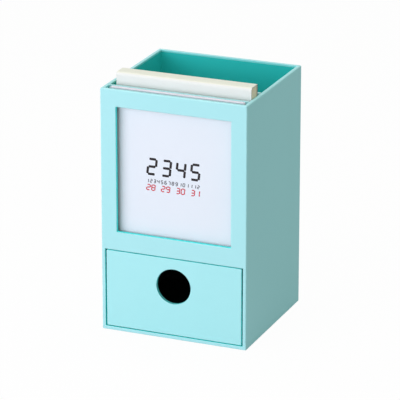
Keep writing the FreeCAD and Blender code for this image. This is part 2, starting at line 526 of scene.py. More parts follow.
@dataclass(frozen=True)
class Paper(Finish):
    """A sheet paper with fibres, faint mottling and edges lightened in patches, which is rubbed wear and
    painted edge highlight.
    """

    name: str
    colour: Colour
    mottled: Colour
    # The body's edges and its openings' rims are lightened in patches: rubbed wear together with painted
    # highlight.
    body: Block | None = None                   # the block whose edges are rubbed
    openings: tuple[FrontOpening, ...] = ()     # openings whose rims are rubbed too
    seam: Seam | None = None
    rubbed: Colour = (0.62, 0.93, 0.94)
    rub_reach: float = 0.7                      # how far from an edge it is rubbed
    rub_share: float = 0.6                      # how strongly that shows
    rub_patch: float = 2.4                      # size of the rubbed spots
    rub_gap: float = 0.32                       # noise below this stays unrubbed
    rub_contrast: float = 3.0
    rub_roughening: float = 0.12
    mottle_size: float = 14.0
    mottle_share: float = 0.5                   # how far the colour moves towards the mottled one
    grain_size: float = 0.42
    fibre_sizes: tuple[Point, Point] = ((3.2, 3.2, 0.16), (0.2, 0.2, 3.6))
    cloud_tint: float = 1.6
    grain_tint: float = 0.9
    fibre_tint: float = 0.8
    swell: float = 0.02
    relief: float = 0.012
    grain_relief: float = 0.6
    fibre_relief: float = 0.4
    roughness: float = 0.56
    grain_roughness: float = 0.16
    cloud_roughness: float = 0.08
    gloss: float = 0.3
    bump: float = 0.55

    def shade(self, graph: Graph) -> Wire:
        """Builds the paper: colour, roughness and relief from the same fibres.

        Args:
            graph: The material's graph.

        Returns:
            The shader's output.
        """
        place = place_mm(graph)
        clouds = noise(graph, place, self.mottle_size, detail=3.0)
        grain = noise(graph, place, self.grain_size, detail=4.0, rough=0.62)
        fibre_across, fibre_up = (noise(graph, place, size, rough=0.6) for size in self.fibre_sizes)
        fibres = (fibre_across + fibre_up) * 0.5
        spots = clouds.swing(self.cloud_tint) + grain.swing(self.grain_tint) + fibres.swing(self.fibre_tint)
        colour = graph.blend((spots * self.mottle_share + 0.5).clamped(), self.colour, self.mottled)
        height = (grain * self.grain_relief + fibres * self.fibre_relief) * self.relief + clouds * self.swell
        roughness = self.roughness + grain.swing(self.grain_roughness) + clouds.swing(self.cloud_roughness)
        if self.body is not None:
            # Rubbed wear and painted edge highlight: a lighter colour in patches near the edges, a little
            # rougher.
            near = edge_nearness(graph, place, self.body, self.rub_reach, self.openings)
            patchy = (noise(graph, place, self.rub_patch, detail=3.0) - self.rub_gap) * self.rub_contrast
            rub = near * patchy.clamped() * self.rub_share
            colour = graph.blend(rub, colour, self.rubbed)
            roughness = roughness + rub * self.rub_roughening
            if self.seam is not None:
                flap, line = self.seam.masks(graph, place, self.body.high[1])
                height = height + flap * self.seam.step
                # Painted shadow along the overlap's edge.
                colour = graph.blend(line * self.seam.share, colour, self.seam.line)
        return coat(graph, colour, roughness, self.gloss, height, self.bump)


@dataclass(frozen=True)
class Greyboard(Finish):
    """Grey board of pulped paper: dark and light flecks, and thin layers at its cut edges."""

    name: str = "greyboard_pulp"
    colour: Colour = (0.27, 0.245, 0.2)
    dark: Colour = (0.14, 0.125, 0.1)
    pale: Colour = (0.42, 0.39, 0.33)
    pulp_size: float = 0.9
    pulp_gap: float = 0.2
    pulp_contrast: float = 1.4
    fleck_size: Point = (0.5, 0.5, 1.6)
    fleck_gap: float = 0.6
    fleck_contrast: float = 6.0
    layer_size: Point = (0.25, 0.25, 6.0)
    pulp_relief: float = 0.04
    layer_relief: float = 0.03
    roughness: float = 0.82
    unevenness: float = 0.2
    gloss: float = 0.2
    bump: float = 0.7

    def shade(self, graph: Graph) -> Wire:
        """Builds the board.

        Args:
            graph: The material's graph.

        Returns:
            The shader's output.
        """
        place = place_mm(graph)
        pulp = noise(graph, place, self.pulp_size, detail=5.0, rough=0.7)
        flecks = noise(graph, place, self.fleck_size)
        layers = noise(graph, place, self.layer_size, detail=1.0)
        ground = graph.blend((pulp * self.pulp_contrast - self.pulp_gap).clamped(), self.dark, self.colour)
        pale = ((flecks - self.fleck_gap) * self.fleck_contrast).clamped()
        height = pulp * self.pulp_relief + layers * self.layer_relief
        colour = graph.blend(pale, ground, self.pale)
        roughness = self.roughness + pulp.swing(self.unevenness)
        return coat(graph, colour, roughness, self.gloss, height, self.bump)


@dataclass(frozen=True)
class SheetBlock(Finish):
    """Uncoated pad paper, warmer and rougher where the guillotine cut it."""

    name: str = "pad_sheet_edges"
    colour: Colour = (0.99, 0.92, 0.73)
    shade_colour: Colour = (0.98, 0.84, 0.62)
    stripe_size: Point = (40.0, 0.24, 60.0)
    nick_size: Point = (0.3, 0.3, 1.4)
    stripe_tint: float = 1.8
    nick_tint: float = 0.7
    tint: float = 0.45
    stripe_relief: float = 0.03
    nick_relief: float = 0.02
    roughness: float = 0.74
    unevenness: float = 0.2
    gloss: float = 0.2
    bump: float = 0.6

    def shade(self, graph: Graph) -> Wire:
        """Builds the sheets' paper.

        Args:
            graph: The material's graph.

        Returns:
            The shader's output.
        """
        place = place_mm(graph)
        stripes = noise(graph, place, self.stripe_size, rough=0.7)
        nicks = noise(graph, place, self.nick_size, detail=3.0, rough=0.6)
        mix = (stripes.swing(self.stripe_tint) + nicks.swing(self.nick_tint) + self.tint).clamped()
        colour = graph.blend(mix, self.colour, self.shade_colour)
        height = stripes * self.stripe_relief + nicks * self.nick_relief
        roughness = self.roughness + nicks.swing(self.unevenness)
        return coat(graph, colour, roughness, self.gloss, height, self.bump)


@dataclass(frozen=True)
class Ink(Finish):
    """Offset ink on card, a little thin where the card's grain shows through."""

    name: str
    colour: Colour
    thin: Colour
    grain_size: float = 0.3
    contrast: float = 2.2
    thinness: float = 0.25
    relief: float = 0.006
    roughness: float = 0.5
    unevenness: float = 0.2
    gloss: float = 0.2
    bump: float = 0.4

    def shade(self, graph: Graph) -> Wire:
        """Builds the ink.

        Args:
            graph: The material's graph.

        Returns:
            The shader's output.
        """
        grain = noise(graph, place_mm(graph), self.grain_size, detail=3.0, rough=0.6)
        thin = (grain.swing(self.contrast) + self.thinness).clamped()
        colour = graph.blend(thin, self.colour, self.thin)
        roughness = self.roughness + grain.swing(self.unevenness)
        return coat(graph, colour, roughness, self.gloss, grain * self.relief, self.bump)


@dataclass(frozen=True)
class BindingGlue(Finish):
    """Dried padding glue: milky, smooth and slightly lumpy."""

    name: str = "padding_glue"
    colour: Colour = (0.74, 0.74, 0.66)
    thick: Colour = (0.6, 0.6, 0.5)
    lump_size: Point = (2.2, 0.9, 0.9)
    relief: float = 0.12
    roughness: float = 0.3
    unevenness: float = 0.25
    gloss: float = 0.5
    bump: float = 0.7

    def shade(self, graph: Graph) -> Wire:
        """Builds the glue.

        Args:
            graph: The material's graph.

        Returns:
            The shader's output.
        """
        lumps = noise(graph, place_mm(graph), self.lump_size, detail=3.0)
        colour = graph.blend(lumps.clamped(), self.colour, self.thick)
        roughness = self.roughness + lumps.swing(self.unevenness)
        return coat(graph, colour, roughness, self.gloss, lumps * self.relief, self.bump)


@dataclass(frozen=True)
class StudioFloor(Finish):
    """A pale floor that looks white to the camera and in reflections, and keeps soft shadows."""

    name: str = "studio_floor"
    colour: Colour = (0.5, 0.5, 0.5)
    pale: Colour = (0.94, 0.94, 0.94)
    white_share: float = 0.96

    def shade(self, graph: Graph) -> Wire:
        """Builds the floor.

        Args:
            graph: The material's graph.

        Returns:
            The shader's output.
        """
        seen = seen_directly(graph)
        matt = graph.wire("ShaderNodeBsdfDiffuse", None, {"Color": self.colour})
        pale = graph.wire("ShaderNodeBsdfDiffuse", None, {"Color": self.pale})
        white = graph.wire("ShaderNodeEmission", None, {"Color": WHITE, "Strength": 1.0})
        shaded = graph.wire("ShaderNodeMixShader", None, {0: seen, 1: matt, 2: pale})
        return graph.wire("ShaderNodeMixShader", None, {0: seen * self.white_share, 1: shaded, 2: white})


# ---------------------------------------------------------------- the object's papers and inks; several carry painted shade, one painted light
MINT = (0.41, 0.83, 0.87)
MINT_MOTTLED = (0.435, 0.85, 0.885)

case_paper = Paper("case_wrap_mint", MINT, MINT_MOTTLED, CASE, (WINDOW, MOUTH), Seam(across=-29.0))
# Darker mint than the wrap on the dividers: painted shade of the narrow slots beside them.
divider_painted_shade = Paper("divider_mint_painted_shade", (0.4, 0.75, 0.76), (0.42, 0.77, 0.78), CASE, rub_share=0.3)
face_paper = Paper("drawer_face_mint", (0.4, 0.855, 0.885), (0.422, 0.87, 0.9), FACE)
tray_paper = Paper("drawer_tray_mint", MINT, MINT_MOTTLED, TRAY)
# Deeper, more saturated mint where the wrap turns into the drawer's mouth and the window, and on the bay
# lining's front: painted shade of those recesses.
turned_painted_shade = Paper("turned_in_mint_painted_shade", (0.1, 0.9, 0.87), (0.12, 0.92, 0.89), gloss=0.1)
# Deeper mint on the strip folded down inside the rim: painted shade under the rim's edge.
rim_painted_shade = Paper("rim_turned_mint_painted_shade", (0.25, 0.87, 0.86), (0.27, 0.89, 0.88), gloss=0.1)
# Deeper mint on the drawer front's sides and finger hole: painted shade of the gap round the drawer and of
# the hole.
face_painted_shade = Paper("drawer_turned_mint_painted_shade", (0.18, 0.85, 0.85), (0.2, 0.87, 0.87), gloss=0.1)
lining_paper = Paper("lining_deep_mint", (0.027, 0.63, 0.6), (0.037, 0.65, 0.62), gloss=0.1)
dark_paper = Paper("drawer_dark_lining", (0.03, 0.04, 0.042), (0.045, 0.055, 0.056))
cover_stock = Paper("pad_cover_ivory", (0.83, 0.87, 0.84), (0.8, 0.83, 0.8), gloss=0.25)
# Warmer, yellower colour for the cover's upward faces: painted light from above.
cover_top_painted_light = Paper("pad_cover_top_painted_light", (0.855, 0.9, 0.8), (0.83, 0.86, 0.75), gloss=0.25)
card_stock = Paper("card_stock_white", (0.81, 0.88, 0.955), (0.79, 0.865, 0.94), relief=0.006)
card_edge = Paper("card_cut_edge", (0.9, 0.85, 0.93), (0.87, 0.82, 0.9), mottle_size=3.0)
greyboard = Greyboard()
sheet_block = SheetBlock()
glue = BindingGlue()
ink_dark = Ink("print_dark", (0.014, 0.011, 0.013), (0.035, 0.03, 0.033))
ink_grey = Ink("print_grey", (0.1, 0.1, 0.12), (0.17, 0.17, 0.19))
ink_red = Ink("print_red", (0.58, 0.015, 0.04), (0.64, 0.06, 0.08))


# ---------------------------------------------------------------- meshes
class Draft:
    """A mesh on the bench, in millimetres, until piece() stores it in metres."""

    def __init__(self, *finishes: Finish) -> None:
        """Starts with an empty mesh.

        Args:
            finishes: The finishes of its faces; a face has the first one unless it is given another.
        """
        self.bm = bmesh.new()
        self.finishes = finishes

    def stepped_skin(
        self,
        solid: Sequence[tuple[bool, Block]],
        covered: Side,
        cuts: Sequence[Sequence[float]] = ((), (), ()),
        other: tuple[Finish, Side] | None = None,
    ) -> None:
        """Adds the covered faces of a solid that is blocks added and taken away in turn.

        Args:
            solid: Pairs of True to add or False to take away, and a block.
            covered: Says which faces the skin covers.
            cuts: Further planes on each axis at which the skin may end or change its finish.
            other: A further finish, and which faces get it.
        """
        lines = []
        for axis in range(3):
            places = set(cuts[axis])
            for _, block in solid:
                places.update(block.span(axis))
            lines.append(sorted({round(place, 4) for place in places}))
        counts = [len(line) - 1 for line in lines]

        def filled(cell: Sequence[int]) -> bool:
            """Says whether a cell between the planes is solid.

            Args:
                cell: Its number on each axis.

            Returns:
                True inside the solid.
            """
            if any(c < 0 or c >= n for c, n in zip(cell, counts)):
                return False
            middle = [(line[c] + line[c + 1]) / 2 for c, line in zip(cell, lines)]
            state = False
            for added, block in solid:
                if block.holds(middle):
                    state = added
            return state

        corners: dict[tuple[int, ...], bmesh.types.BMVert] = {}

        def corner(index: tuple[int, ...]) -> bmesh.types.BMVert:
            """Gives the point where three planes meet, which its faces share.

            Args:
                index: The number of the plane on each axis.

            Returns:
                The point.
            """
            if index not in corners:
                corners[index] = self.bm.verts.new([line[i] for i, line in zip(index, lines)])
            return corners[index]

        for cell in product(*(range(count) for count in counts)):
            if not filled(cell):
                continue
            for axis, side in product(range(3), (0, 1)):
                outward = Vector((0.0, 0.0, 0.0))
                outward[axis] = 2.0 * side - 1.0
                beyond = [c + int(step) for c, step in zip(cell, outward)]
                if filled(beyond):
                    continue
                one, two = (axis + 1) % 3, (axis + 2) % 3
                ring = []
                for a, b in ((0, 0), (1, 0), (1, 1), (0, 1)):
                    index = list(cell)
                    index[axis] += side
                    index[one] += a
                    index[two] += b
                    ring.append(tuple(index))
                if side == 0:
                    ring.reverse()
                middle = Vector([sum(line[r[n]] for r in ring) / 4 for n, line in enumerate(lines)])
                if covered(middle, outward):
                    self.bm.faces.new([corner(r) for r in ring])
        if other is not None:
            self.refinish(*other)
        self._flatten()

    def _flatten(self) -> None:
        """Joins faces of one finish that lie in one plane."""
        self.bm.normal_update()
        bmesh.ops.dissolve_limit(
            self.bm, angle_limit=math.radians(FLAT_BELOW), verts=self.bm.verts, edges=self.bm.edges,
            delimit={"MATERIAL"},
        )
        self.bm.normal_update()

    def round_edges(self, radius: Callable[[Vector], float] = lambda middle: EDGE_RADIUS) -> None:
        """Rounds the outward edges.

        Args:
            radius: Gives an edge's radius from its middle, no more than OUTER_RADIUS.
        """
        share = self.bm.edges.layers.float.new("bevel_weight_edge")
        for edge in self.bm.edges:
            if len(edge.link_faces) == 2 and edge.calc_face_angle_signed() > math.radians(ROUNDED_ABOVE):
                edge[share] = radius((edge.verts[0].co + edge.verts[1].co) / 2) / OUTER_RADIUS
        mesh = bpy.data.meshes.new("rounding")
        self.bm.to_mesh(mesh)
        held = bpy.data.objects.new("rounding", mesh)
        bpy.context.scene.collection.objects.link(held)
        rounding = held.modifiers.new("rounding", "BEVEL")
        rounding.limit_method = "WEIGHT"
        rounding.width = OUTER_RADIUS
        rounding.segments = EDGE_STEPS
        rounding.use_clamp_overlap = False
        make_plain(held)
        self.bm.clear()
        self.bm.from_mesh(held.data)
        bpy.data.objects.remove(held)
        self.bm.normal_update()

    def refinish(self, finish: Finish, picked: Side) -> None:
        """Gives some faces another finish.

        Args:
            finish: One of the mesh's finishes.
            picked: Says which faces get it.
        """
        self.bm.normal_update()
        for face in self.bm.faces:
            if picked(face.calc_center_median(), face.normal):
                face.material_index = self.finishes.index(finish)

    def _rows(self, points: Sequence[Span], along: Span, axis: int) -> list[list[bmesh.types.BMVert]]:
        """Adds two rows of points that lie opposite each other.

        Args:
            points: The places on the other two axes, in their order x, y, z.
            along: The places of the two rows on the third axis.
            axis: The third axis, 0 to 2.

        Returns:
            The two rows.
        """
        rows = []
        for value in along:
            spots = [(*point[:axis], value, *point[axis:]) for point in points]
            rows.append([self.bm.verts.new(spot) for spot in spots])
        return rows

    def strip(self, path: Sequence[Span], along: Span, axis: int, middle: Vector, inwards: bool) -> None:
        """Adds a sheet that follows a path in one plane and runs straight along the third axis.

        Args:
            path: Points in the plane of the other two axes, in their order x, y, z.
            along: Where it starts and ends on the third axis.
            axis: The third axis, 0 to 2.
            middle: A point that the sheet goes round.
            inwards: Whether its faces look at that point, and not away from it.
        """
        near, far = self._rows(path, along, axis)
        for n in range(len(path) - 1):
            self.bm.faces.new([near[n], near[n + 1], far[n + 1], far[n]])
        self.bm.normal_update()
        for face in self.bm.faces:
            looks_in = face.normal.dot(middle - face.calc_center_median()) > 0
            if looks_in != inwards:
                face.normal_flip()

    def slab(self, outline: Sequence[Span], along: Span, axis: int) -> None:
        """Adds a closed plate with a given outline.

        Args:
            outline: Its corners in the plane of the other two axes.
            along: Its two faces' places on the third axis.
            axis: The third axis, 0 to 2.
        """
        near, far = self._rows(outline, along, axis)
        made = [self.bm.faces.new(near), self.bm.faces.new(far)]
        count = len(outline)
        for n in range(count):
            after = (n + 1) % count
            made.append(self.bm.faces.new([near[n], near[after], far[after], far[n]]))
        bmesh.ops.recalc_face_normals(self.bm, faces=made)

    def fill_between(self, loops: Sequence[Sequence[bmesh.types.BMVert]], outward: Vector) -> None:
        """Fills the flat area between closed loops of points.

        Args:
            loops: The outer loop and the loops of its holes.
            outward: The direction that the new faces face.
        """
        edges = []
        for loop in loops:
            for n, vert in enumerate(loop):
                pair = (vert, loop[(n + 1) % len(loop)])
                edges.append(self.bm.edges.get(pair) or self.bm.edges.new(pair))
        made = bmesh.ops.triangle_fill(self.bm, use_beauty=True, use_dissolve=False, edges=edges)
        for item in made["geom"]:
            if isinstance(item, bmesh.types.BMFace):
                item.normal_update()
                if item.normal.dot(outward) < 0:
                    item.normal_flip()

    def add_mesh(self, mesh: bpy.types.Mesh, finish: Finish) -> None:
        """Adds a stored mesh.

        Args:
            mesh: The mesh.
            finish: The finish of its faces, one of this mesh's.
        """
        before = len(self.bm.faces)
        self.bm.from_mesh(mesh)
        self.bm.faces.ensure_lookup_table()
        for face in self.bm.faces[before:]:
            face.material_index = self.finishes.index(finish)

    def piece(self, name: str, thickness: float = 0.0) -> bpy.types.Object:
        """Stores the mesh as an object, in metres.

        Args:
            name: The object's name.
            thickness: How thick a sheet becomes, inward from its faces.

        Returns:
            The object.
        """
        for face in self.bm.faces:
            face.smooth = True
        for edge in self.bm.edges:
            if len(edge.link_faces) == 2:
                edge.smooth = edge.calc_face_angle() < math.radians(SHARP_ABOVE)
        mesh = bpy.data.meshes.new(name)
        self.bm.to_mesh(mesh)
        self.bm.free()
        made = bpy.data.objects.new(name, mesh)
        bpy.context.scene.collection.objects.link(made)
        for finish in self.finishes:
            mesh.materials.append(finish.material())
        if thickness:
            sheet = made.modifiers.new("sheet", "SOLIDIFY")
            sheet.thickness = thickness
            sheet.offset = -1.0
            sheet.use_even_offset = True
            sheet.use_rim = True
        normals = made.modifiers.new("normals", "WEIGHTED_NORMAL")
        normals.keep_sharp = True
        make_plain(made)
        made.data.transform(Matrix.Scale(MM, 4))
        return made


def make_plain(made: bpy.types.Object) -> None:
    """Turns an object's modifiers into plain mesh and removes them.

    Args:
        made: The object.
    """
    depsgraph = bpy.context.evaluated_depsgraph_get()
    depsgraph.update()
    plain = bpy.data.meshes.new_from_object(made.evaluated_get(depsgraph))
    made.modifiers.clear()
    made.data = plain


def arc(centre: Span, radius: float, start: float, end: float, steps: int) -> list[Span]:
    """Gives points on an arc.

    Args:
        centre: Its centre.
        radius: Its radius.
        start: Its first angle in degrees, from the first axis towards the second.
        end: Its last angle in degrees.
        steps: How many chords it has.

    Returns:
        The points, one more than the chords.
    """
    angles = [math.radians(start + (end - start) * n / steps) for n in range(steps + 1)]
    return [(centre[0] + radius * math.cos(a), centre[1] + radius * math.sin(a)) for a in angles]


def rounded_rectangle(first: Span, second: Span, radius: float) -> list[Span]:
    """Gives the outline of a rectangle with rounded corners, counter-clockwise.

    Args:
        first: Its extent on the first axis.
        second: Its extent on the second axis.
        radius: The corners' radius.

    Returns:
        The outline's points.
    """
    points = []
    for quarter, (right, upper) in enumerate(((1, 0), (1, 1), (0, 1), (0, 0))):
        centre = (first[right] + radius * (1 - 2 * right), second[upper] + radius * (1 - 2 * upper))
        start = 90.0 * (quarter - 1)
        points.extend(arc(centre, radius, start, start + 90.0, EDGE_STEPS))
    return points


def dress(node: str, finish: Finish) -> None:
    """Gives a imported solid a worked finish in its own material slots.

    Args:
        node: The solid's name.
        finish: The finish.
    """
    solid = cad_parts[node]
    if not solid.material_slots:
        solid.data.materials.append(finish.material())
    for slot in solid.material_slots:
        slot.material = finish.material()
    log.info("dressed %s with %s", node, finish.name)


def place(made: bpy.types.Object, body: str, slot: str, node: str) -> None:
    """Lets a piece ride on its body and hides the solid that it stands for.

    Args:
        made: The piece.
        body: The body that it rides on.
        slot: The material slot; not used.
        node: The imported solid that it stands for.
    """
    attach(made, body)
    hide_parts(node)
    log.info("made %s on %s, %d faces", made.name, body, len(made.data.polygons))


# ---------------------------------------------------------------- geometry nodes
class Rule:
    """A geometry node tree with named inputs that makes something repeated."""

    def __init__(self, name: str, numbers: Sequence[str], counts: Sequence[str] = ()) -> None:
        """Starts the tree and its inputs.

        Args:
            name: The tree's name.
            numbers: The names of its sizes.
            counts: The names of its whole numbers.
        """
        self.tree = bpy.data.node_groups.new(name, "GeometryNodeTree")
        self._socket("Geometry", "Geometry", "OUTPUT")
        self._socket("Geometry", "Geometry")
        self._socket("Material", "Material")
        for title in numbers:
            self._socket(title, "Float")
        for title in counts:
            self._socket(title, "Int")
        self.graph = Graph(self.tree)
        self.given = self.graph.node("NodeGroupInput")

    def _socket(self, title: str, kind: str, side: str = "INPUT") -> None:
        """Adds one input or output to the tree.

        Args:
            title: Its name.
            kind: The end of its socket type's name.
            side: INPUT or OUTPUT.
        """
        self.tree.interface.new_socket(title, in_out=side, socket_type=f"NodeSocket{kind}")

    def value(self, title: str) -> Wire:
        """Gives one of the tree's inputs as a wire."""
        return Wire(self.graph, self.given.outputs[title])

    def stored(self, name: str) -> Wire:
        """Gives a number that is stored on the start mesh's points."""
        values = {"Name": name}
        return self.graph.wire("GeometryNodeInputNamedAttribute", {"data_type": "FLOAT"}, values)

    def close(self, instances: Wire) -> None:
        """Ends the tree: real geometry with its material set.

        Args:
            instances: The instances to make real.
        """
        real = self.graph.wire("GeometryNodeRealizeInstances", None, {0: instances})
        values = {"Geometry": real, "Material": self.value("Material")}
        dressed = self.graph.wire("GeometryNodeSetMaterial", None, values)
        self.graph.node("NodeGroupOutput", None, {0: dressed})

    def apply(self, name: str, start: bpy.types.Mesh, finish: Finish, **values: float) -> bpy.types.Mesh:
        """Runs the tree on a start mesh and hands back plain mesh.

        Args:
            name: A name for the result.
            start: The mesh that the tree gets.
            finish: The finish of what it makes.
            values: Its other inputs by name.

        Returns:
            The plain mesh.
        """
        carrier = bpy.data.objects.new(name, start)
        bpy.context.scene.collection.objects.link(carrier)
        modifier = carrier.modifiers.new(name, "NODES")
        modifier.node_group = self.tree
        inputs: dict[str, object] = {"Material": finish.material(), **values}
        for item in self.tree.interface.items_tree:
            if item.item_type == "SOCKET" and item.in_out == "INPUT" and item.name in inputs:
                modifier[item.identifier] = inputs[item.name]
        make_plain(carrier)
        plain = carrier.data
        bpy.data.objects.remove(carrier)
        return plain


def sheet_stack_rule() -> Rule:
    """Builds the tree that stacks a pad's sheets: each is a little off, and lower under the cover's fold.

    Returns:
        The rule.
    """
    sizes = ("Pitch", "First", "Width", "Height", "Thickness", "Foot", "Middle", "Fold", "Slip")
    rule = Rule("pad_sheet_stack", sizes, ("Sheets", "Seed", "SideSeed"))
    graph = rule.graph
    pitch, first, width, height, thickness, foot, middle, fold, slip = (rule.value(size) for size in sizes)
    line = graph.wire("GeometryNodeMeshLine", {"mode": "OFFSET"}, {
        "Count": rule.value("Sheets"),
        "Start Location": graph.vector(middle, first, foot),
        "Offset": graph.vector(y=pitch),
    })
    sheet = graph.wire("GeometryNodeMeshCube", None, {
        "Size": graph.vector(width, thickness, 1.0), "Vertices X": 3, "Vertices Z": 3,
    })
    lifted = graph.wire("GeometryNodeTransform", None, {"Geometry": sheet, "Translation": (0.0, 0.0, 0.5)})
    depth = graph.wire("GeometryNodeInputIndex") * pitch
    short = (fold - depth).larger(0.0)
    drop = fold - (fold * fold - short * short).larger(0.0).root()
    upward, aside = (
        graph.wire("FunctionNodeRandomValue", {"data_type": "FLOAT"}, {2: low, 3: 1.0, "Seed": seed}, 1)
        for low, seed in ((0.0, rule.value("Seed")), (-1.0, rule.value("SideSeed")))
    )
    moved = graph.wire("GeometryNodeSetPosition", None, {
        "Geometry": line, "Offset": graph.vector(x=aside * slip),
    })
    stack = graph.wire("GeometryNodeInstanceOnPoints", None, {
        "Points": moved, "Instance": lifted, "Scale": graph.vector(1.0, 1.0, height - drop - slip * upward),
    })
    rule.close(stack)
    return rule


def segment_print_rule() -> Rule:
    """Builds the tree that lays a short printed bar on each point, turned and sized by the point's values.

    Returns:
        The rule.
    """
    rule = Rule("segment_print", ("Length", "Width", "Ink", "Corner", "Gap"))
    graph = rule.graph
    outline = graph.wire("GeometryNodeCurvePrimitiveQuadrilateral", {"mode": "RECTANGLE"}, {
        "Width": rule.value("Length"), "Height": rule.value("Width"),
    })
    cut = graph.wire("GeometryNodeFilletCurve", {"mode": "POLY"}, {
        "Curve": outline, "Radius": rule.value("Corner"), "Count": 1, "Limit Radius": True,
    })
    face = graph.wire("GeometryNodeFillCurve", {"mode": "NGONS"}, {"Curve": cut})
    raised = graph.wire("GeometryNodeExtrudeMesh", {"mode": "FACES"}, {
        "Mesh": face, "Offset Scale": rule.value("Ink"), "Individual": False,
    })
    joined = graph.node("GeometryNodeJoinGeometry", None, {0: raised})
    graph.feed(joined.inputs[0], graph.wire("GeometryNodeFlipFaces", None, {"Mesh": face}))
    closed = graph.wire("GeometryNodeMergeByDistance", None, {
        "Geometry": joined.outputs[0], "Distance": rule.value("Gap"),
    })
    upright = graph.wire("GeometryNodeTransform", None, {
        "Geometry": closed, "Rotation": (math.radians(90.0), 0.0, 0.0),
    })
    size = rule.stored("size")
    bars = graph.wire("GeometryNodeInstanceOnPoints", None, {
        "Points": rule.value("Geometry"), "Instance": upright,
        "Rotation": graph.vector(y=rule.stored("turn")),
        "Scale": graph.vector(size, 1.0, size * rule.stored("weight")),
    })
    rule.close(bars)
    return rule


# ---------------------------------------------------------------- the case
@dataclass
class CaseShell:
    """The case: paper round the boards, the linings, the shelf and the foot."""

    turn_in: float = 1.4            # wrap folded down inside the rim
    strip_reach: float = 0.02       # how far past the pocket's walls that strip may reach
    mouth_turn: float = 0.8         # wrap folded into the drawer's mouth
    # the bay lining's front part, this deep, gets the turned-in paper's painted shade
    mouth_paste: float = 8.0        # how deep the bay's lining has the turned-in paper's colour
    foot_turn: float = 1.5          # wrap folded under the foot
    foot_corner: float = 1.2
    lining_gap: float = 0.05        # between a lining and the folded wrap
    lining_end: float = 0.02        # between the wall lining's ends and the frame's back
    corner_fold: float = 0.8        # radius of the wall lining in the corners
    corner_steps: int = 5
    divider_rounding: float = 0.3
    boards: tuple[str, ...] = (
        "left_wall_board", "right_wall_board", "back_wall_board", "base_board", "bay_roof_board",
        "front_frame_board", "card_divider_board", "pad_divider_board",
    )

    def build(self) -> None:
        """Makes and dresses every piece of the case."""
        for board in self.boards:
            dress(board, greyboard)
        dress("upper_floor_paper", lining_paper)
        self.wrap()
        self.foot_sheet()
        self.wall_lining()
        self.frame_back()
        self.bay_lining()
        self.divider_wrap("card_divider_wrap")
        self.divider_wrap("pad_divider_wrap")

    @property
    def lining_top(self) -> float:
        """Where the compartment's linings end below the rim."""
        return CASE.high[2] - self.turn_in - self.lining_gap

    @property
    def bay(self) -> Block:
        """The drawer bay's hollow, from the front of the case to the bay's back."""
        return MOUTH.cut((CASE.low[1], BAY.high[1]))

    def wrap(self) -> None:
        """Makes the wrapped outside: walls, front with its window and drawer mouth, rim and foot turn-in. The
        paper turned into the mouth and the window, and the strip folded down inside the rim, get deeper mint
        as painted shade.
        """
        half_x, half_y, _ = POCKET.high
        rim_end = CASE.high[2] - self.turn_in
        mouth_end = CASE.low[1] + self.mouth_turn
        foot_x, foot_y = CASE.high[0] - self.foot_turn, CASE.high[1] - self.foot_turn
        solid = [
            (True, CASE),
            (False, Block((-half_x, -half_y, SHELF), (half_x, half_y, CASE.high[2]))),
            (False, self.bay),
            (False, WINDOW.cut((CASE.low[1], -half_y))),
        ]

        def covered(middle: Vector, outward: Vector) -> bool:
            """Says whether a face is outside, turned in at an edge, or on the frame's back round the window.

            Args:
                middle: The face's middle.
                outward: Its outward direction.

            Returns:
                True where the wrap lies.
            """
            if outward.z < -FACING and middle.z < ON_PLANE:
                return abs(middle.x) > foot_x or abs(middle.y) > foot_y
            if abs(middle.x) < half_x + BESIDE and abs(middle.y) < half_y + BESIDE:
                on_frame_back = middle.y < ON_PLANE - half_y and middle.z > WINDOW.z[0]
                return middle.z > rim_end or on_frame_back
            on_side = abs(middle.x) > CASE.high[0] - ON_PLANE
            in_mouth = MOUTH.z[0] - BESIDE < middle.z < MOUTH.z[1] + BESIDE and abs(outward.y) < FACING
            return on_side or not in_mouth or middle.y < mouth_end

        draft = Draft(case_paper, turned_painted_shade, rim_painted_shade)
        cuts = ((-foot_x, foot_x), (-foot_y, foot_y, mouth_end), (rim_end,))
        draft.stepped_skin(solid, covered, cuts)
        draft.round_edges(self._rounding)
        # Painted shade: deeper mint on the faces that turn into the mouth and the window.
        draft.refinish(turned_painted_shade, self._turned_in)
        # Painted shade: deeper mint on the strip inside the rim.
        draft.refinish(rim_painted_shade, self._inside_rim)
        place(draft.piece("case_wrap", PAPER), "case", "mint_wrap_paper", "case_wrap_paper")

    def _rounding(self, middle: Vector) -> float:
        """Gives the radius of an edge of the wrap: larger on the outer corners and on the rim's outer edge.

        Args:
            middle: The edge's middle.

        Returns:
            The radius.
        """
        at_x, at_y, at_top = (abs(abs(v) - limit) < ON_PLANE for v, limit in zip(middle, CASE.high))
        outer = (at_x and at_y) or (at_top and (at_x or at_y))
        return OUTER_RADIUS if outer else EDGE_RADIUS

    def _turned_in(self, middle: Vector, outward: Vector) -> bool:
        """Says whether a face of the wrap looks into the drawer's mouth or into the window.

        Args:
            middle: The face's middle.
            outward: Its outward direction.

        Returns:
            True on the paper that is turned in there, which gets painted shade.
        """
        in_front = middle.y < POCKET.low[1] + ON_PLANE and abs(outward.y) < SQUARE
        return in_front and any(hole.looks_in(middle, outward) for hole in (MOUTH, WINDOW))

    def _inside_rim(self, middle: Vector, outward: Vector) -> bool:
        """Says whether a face of the wrap is the strip that is folded down inside the rim.

        Args:
            middle: The face's middle.
            outward: Its outward direction.

        Returns:
            True on the strip, which gets painted shade.
        """
        half_x, half_y, _ = POCKET.high
        inside = abs(middle.x) < half_x + self.strip_reach and abs(middle.y) < half_y + self.strip_reach
        return inside and middle.z > SHELF and outward.z < SQUARE

